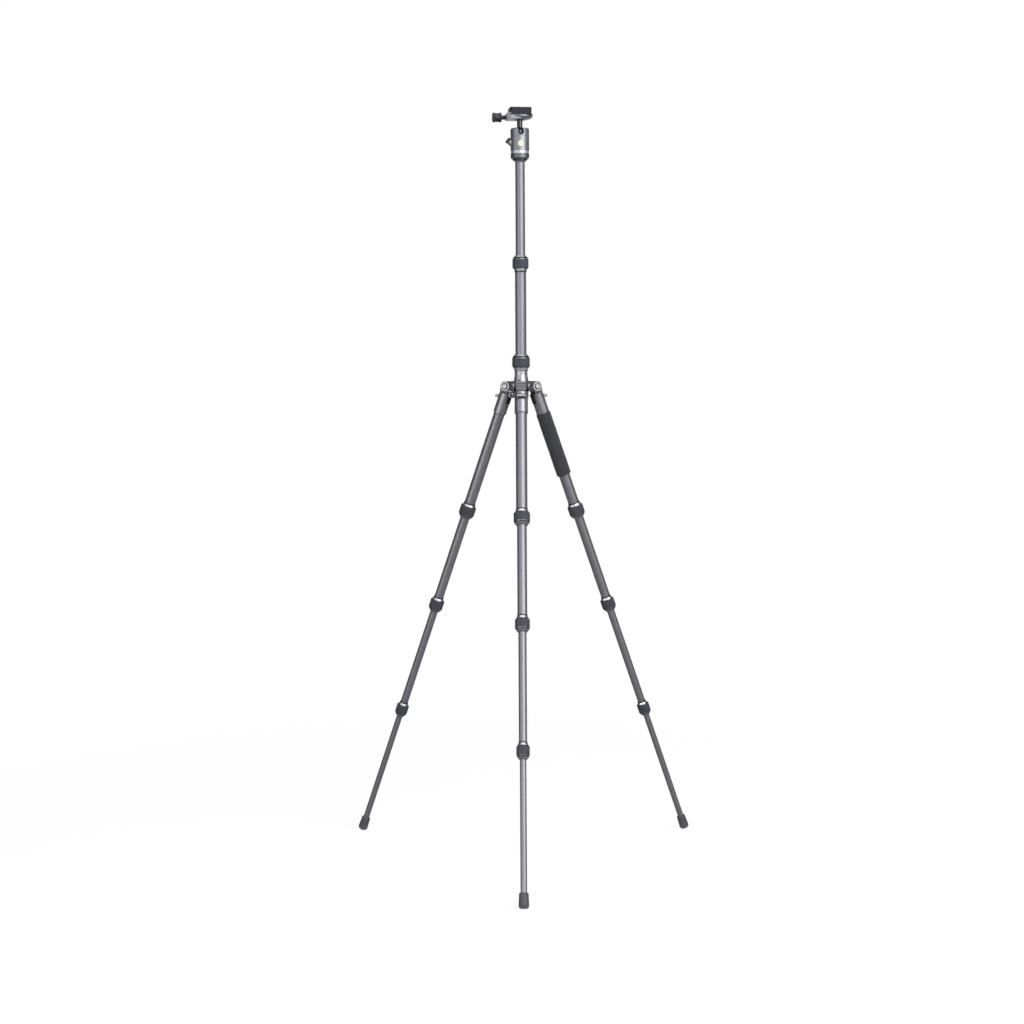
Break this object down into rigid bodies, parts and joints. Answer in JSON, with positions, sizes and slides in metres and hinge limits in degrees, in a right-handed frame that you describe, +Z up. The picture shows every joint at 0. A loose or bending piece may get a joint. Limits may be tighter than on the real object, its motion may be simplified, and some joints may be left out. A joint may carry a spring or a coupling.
{
  "type": "travel tripod with ball head",
  "caption": "Compact folding camera tripod with nested twist-lock legs, a sliding centre column and a ball head with a quick-release plate.",
  "frame": {"origin": "centre of the footprint's bounding box, on the ground", "axes": "+Z up along the centre column, -Y towards the leg that stands in front, +X to the right of someone who looks along +Y"},
  "size_m": [0.6326, 0.5502, 1.3427],
  "materials": {
    "carbon": "gloss",
    "grey_casting": "satin",
    "head_grey": "satin",
    "ring_metal": "satin",
    "bright_metal": "satin",
    "black_metal": "satin",
    "plate_black": "satin",
    "knob_black": "satin",
    "steel": "satin",
    "rubber": "matte",
    "foam": "matte",
    "pale_disc": "gloss"
  },
  "bodies": {
    "spider_body": {"spider": "grey_casting", "hinge_bolts": "steel"},
    "front_leg": {"front_casting": "grey_casting", "front_tube_1": "carbon", "front_ferrule_1": "ring_metal"},
    "front_tab": {"front_angle_tab": "bright_metal"},
    "front_collar_1": {"front_lock_1": "rubber"},
    "front_section_2": {"front_tube_2": "carbon", "front_ferrule_2": "ring_metal"},
    "front_collar_2": {"front_lock_2": "rubber"},
    "front_section_3": {"front_tube_3": "carbon", "front_ferrule_3": "ring_metal"},
    "front_collar_3": {"front_lock_3": "rubber"},
    "front_section_4": {"front_tube_4": "carbon", "front_foot": "rubber"},
    "right_leg": {"right_casting": "grey_casting", "right_tube_1": "carbon", "right_ferrule_1": "ring_metal", "foam_grip": "foam"},
    "right_tab": {"right_angle_tab": "bright_metal"},
    "right_collar_1": {"right_lock_1": "rubber"},
    "right_section_2": {"right_tube_2": "carbon", "right_ferrule_2": "ring_metal"},
    "right_collar_2": {"right_lock_2": "rubber"},
    "right_section_3": {"right_tube_3": "carbon", "right_ferrule_3": "ring_metal"},
    "right_collar_3": {"right_lock_3": "rubber"},
    "right_section_4": {"right_tube_4": "carbon", "right_foot": "rubber"},
    "left_leg": {"left_casting": "grey_casting", "left_tube_1": "carbon", "left_ferrule_1": "ring_metal"},
    "left_tab": {"left_angle_tab": "bright_metal"},
    "left_collar_1": {"left_lock_1": "rubber"},
    "left_section_2": {"left_tube_2": "carbon", "left_ferrule_2": "ring_metal"},
    "left_collar_2": {"left_lock_2": "rubber"},
    "left_section_3": {"left_tube_3": "carbon", "left_ferrule_3": "ring_metal"},
    "left_collar_3": {"left_lock_3": "rubber"},
    "left_section_4": {"left_tube_4": "carbon", "left_foot": "rubber"},
    "column_collar_low": {"column_lock_low": "rubber"},
    "column_lower": {"lower_column": "carbon", "lower_column_ferrule": "ring_metal", "bag_hook": "black_metal"},
    "column_collar_high": {"column_lock_high": "rubber"},
    "column_upper": {"upper_column": "carbon", "column_top_plate": "black_metal", "pan_base": "grey_casting"},
    "head": {"head_housing": "head_grey", "level_disc": "pale_disc"},
    "ball_lock": {"ball_lock_knob": "knob_black"},
    "seat": {"ball_seat": "ring_metal"},
    "ball_stem": {"ball": "black_metal"},
    "clamp": {"clamp_body": "head_grey"},
    "jaw": {"clamp_jaw": "head_grey"},
    "jaw_knob": {"clamp_knob": "knob_black"},
    "plate": {"camera_plate": "plate_black"},
    "plate_screw": {"camera_screw": "steel"}
  },
  "joints": [
    {"name": "front_leg_hinge", "type": "hinge", "parent": "spider_body", "child": "front_leg", "pos_m": [0, 0.06232, 0.84931], "axis": [1, 0, 0], "range_deg": [-152, 20.8]},
    {"name": "front_tab_pull", "type": "slide", "parent": "front_leg", "child": "front_tab", "axis": [0, -0.9317, 0.3633], "range_m": [0, 0.003], "stiffness_N_per_m": 800},
    {"name": "front_lock_1_turn", "type": "hinge", "parent": "front_leg", "child": "front_collar_1", "pos_m": [0, -0.02581, 0.62328], "axis": [0, -0.3633, -0.9317], "range_deg": [0, 120]},
    {"name": "front_section_2_slide", "type": "slide", "parent": "front_leg", "child": "front_section_2", "axis": [0, -0.3633, -0.9317], "range_m": [-0.157, 0]},
    {"name": "front_lock_2_turn", "type": "hinge", "parent": "front_section_2", "child": "front_collar_2", "pos_m": [0, -0.09464, 0.44672], "axis": [0, -0.3633, -0.9317], "range_deg": [0, 120]},
    {"name": "front_section_3_slide", "type": "slide", "parent": "front_section_2", "child": "front_section_3", "axis": [0, -0.3633, -0.9317], "range_m": [-0.186, 0]},
    {"name": "front_lock_3_turn", "type": "hinge", "parent": "front_section_3", "child": "front_collar_3", "pos_m": [0, -0.17397, 0.24324], "axis": [0, -0.3633, -0.9317], "range_deg": [0, 120]},
    {"name": "front_section_4_slide", "type": "slide", "parent": "front_section_3", "child": "front_section_4", "axis": [0, -0.3633, -0.9317], "range_m": [-0.2164, 0]},
    {"name": "right_leg_hinge", "type": "hinge", "parent": "spider_body", "child": "right_leg", "pos_m": [0.02286, 0.10192, 0.84931], "axis": [-0.5, 0.866, 0], "range_deg": [-152, 20.8]},
    {"name": "right_tab_pull", "type": "slide", "parent": "right_leg", "child": "right_tab", "axis": [0.8069, 0.4658, 0.3633], "range_m": [0, 0.003], "stiffness_N_per_m": 800},
    {"name": "right_lock_1_turn", "type": "hinge", "parent": "right_leg", "child": "right_collar_1", "pos_m": [0.09918, 0.14598, 0.62328], "axis": [0.3146, 0.1816, -0.9317], "range_deg": [0, 120]},
    {"name": "right_section_2_slide", "type": "slide", "parent": "right_leg", "child": "right_section_2", "axis": [0.3146, 0.1816, -0.9317], "range_m": [-0.157, 0]},
    {"name": "right_lock_2_turn", "type": "hinge", "parent": "right_section_2", "child": "right_collar_2", "pos_m": [0.15879, 0.1804, 0.44672], "axis": [0.3146, 0.1816, -0.9317], "range_deg": [0, 120]},
    {"name": "right_section_3_slide", "type": "slide", "parent": "right_section_2", "child": "right_section_3", "axis": [0.3146, 0.1816, -0.9317], "range_m": [-0.186, 0]},
    {"name": "right_lock_3_turn", "type": "hinge", "parent": "right_section_3", "child": "right_collar_3", "pos_m": [0.2275, 0.22007, 0.24324], "axis": [0.3146, 0.1816, -0.9317], "range_deg": [0, 120]},
    {"name": "right_section_4_slide", "type": "slide", "parent": "right_section_3", "child": "right_section_4", "axis": [0.3146, 0.1816, -0.9317], "range_m": [-0.2164, 0]},
    {"name": "left_leg_hinge", "type": "hinge", "parent": "spider_body", "child": "left_leg", "pos_m": [-0.02286, 0.10192, 0.84931], "axis": [-0.5, -0.866, 0], "range_deg": [-152, 20.8]},
    {"name": "left_tab_pull", "type": "slide", "parent": "left_leg", "child": "left_tab", "axis": [-0.8069, 0.4658, 0.3633], "range_m": [0, 0.003], "stiffness_N_per_m": 800},
    {"name": "left_lock_1_turn", "type": "hinge", "parent": "left_leg", "child": "left_collar_1", "pos_m": [-0.09918, 0.14598, 0.62328], "axis": [-0.3146, 0.1816, -0.9317], "range_deg": [0, 120]},
    {"name": "left_section_2_slide", "type": "slide", "parent": "left_leg", "child": "left_section_2", "axis": [-0.3146, 0.1816, -0.9317], "range_m": [-0.157, 0]},
    {"name": "left_lock_2_turn", "type": "hinge", "parent": "left_section_2", "child": "left_collar_2", "pos_m": [-0.15879, 0.1804, 0.44672], "axis": [-0.3146, 0.1816, -0.9317], "range_deg": [0, 120]},
    {"name": "left_section_3_slide", "type": "slide", "parent": "left_section_2", "child": "left_section_3", "axis": [-0.3146, 0.1816, -0.9317], "range_m": [-0.186, 0]},
    {"name": "left_lock_3_turn", "type": "hinge", "parent": "left_section_3", "child": "left_collar_3", "pos_m": [-0.2275, 0.22007, 0.24324], "axis": [-0.3146, 0.1816, -0.9317], "range_deg": [0, 120]},
    {"name": "left_section_4_slide", "type": "slide", "parent": "left_section_3", "child": "left_section_4", "axis": [-0.3146, 0.1816, -0.9317], "range_m": [-0.2164, 0]},
    {"name": "column_lock_low_turn", "type": "hinge", "parent": "spider_body", "child": "column_collar_low", "pos_m": [0, 0.08872, 0.89121], "axis": [0, 0, 1], "range_deg": [0, 120]},
    {"name": "lower_column_slide", "type": "slide", "parent": "spider_body", "child": "column_lower", "axis": [0, 0, -1], "range_m": [0, 0.138]},
    {"name": "column_lock_high_turn", "type": "hinge", "parent": "column_lower", "child": "column_collar_high", "pos_m": [0, 0.08872, 1.06651], "axis": [0, 0, 1], "range_deg": [0, 120]},
    {"name": "upper_column_slide", "type": "slide", "parent": "column_lower", "child": "column_upper", "axis": [0, 0, -1], "range_m": [0, 0.16]},
    {"name": "head_pan", "type": "hinge", "parent": "column_upper", "child": "head", "pos_m": [0, 0.08872, 1.26041], "axis": [0, 0, 1], "continuous": true},
    {"name": "ball_lock_turn", "type": "hinge", "parent": "head", "child": "ball_lock", "pos_m": [-0.0228, 0.08572, 1.28461], "axis": [-0.7595, -0.1, 0.6428], "range_deg": [-360, 90]},
    {"name": "ball_tilt_side", "type": "hinge", "parent": "head", "child": "seat", "pos_m": [0, 0.08872, 1.29701], "axis": [-0.1305, 0.9914, 0], "range_deg": [-28, 28]},
    {"name": "ball_tilt_front", "type": "hinge", "parent": "seat", "child": "ball_stem", "pos_m": [0, 0.08872, 1.29701], "axis": [0.9914, 0.1305, 0], "range_deg": [-28, 90]},
    {"name": "clamp_swivel", "type": "hinge", "parent": "ball_stem", "child": "clamp", "pos_m": [0, 0.08872, 1.31761], "axis": [0, 0, 1], "continuous": true},
    {"name": "jaw_slide", "type": "slide", "parent": "clamp", "child": "jaw", "axis": [-0.9914, -0.1305, 0], "range_m": [0, 0.003]},
    {"name": "jaw_knob_turn", "type": "hinge", "parent": "jaw", "child": "jaw_knob", "pos_m": [-0.03966, 0.0835, 1.32291], "axis": [-0.9914, -0.1305, 0], "range_deg": [0, 864]},
    {"name": "plate_slide", "type": "slide", "parent": "clamp", "child": "plate", "axis": [-0.1305, 0.9914, 0], "range_m": [-0.015, 0.015]},
    {"name": "camera_screw_turn", "type": "hinge", "parent": "plate", "child": "plate_screw", "pos_m": [0, 0.08872, 1.33931], "axis": [0, 0, 1], "continuous": true}
  ],
  "couplings": [
    {"joint": "jaw_knob_turn", "follows": "jaw_slide", "rad_per_m": 5026.5}
  ]
}
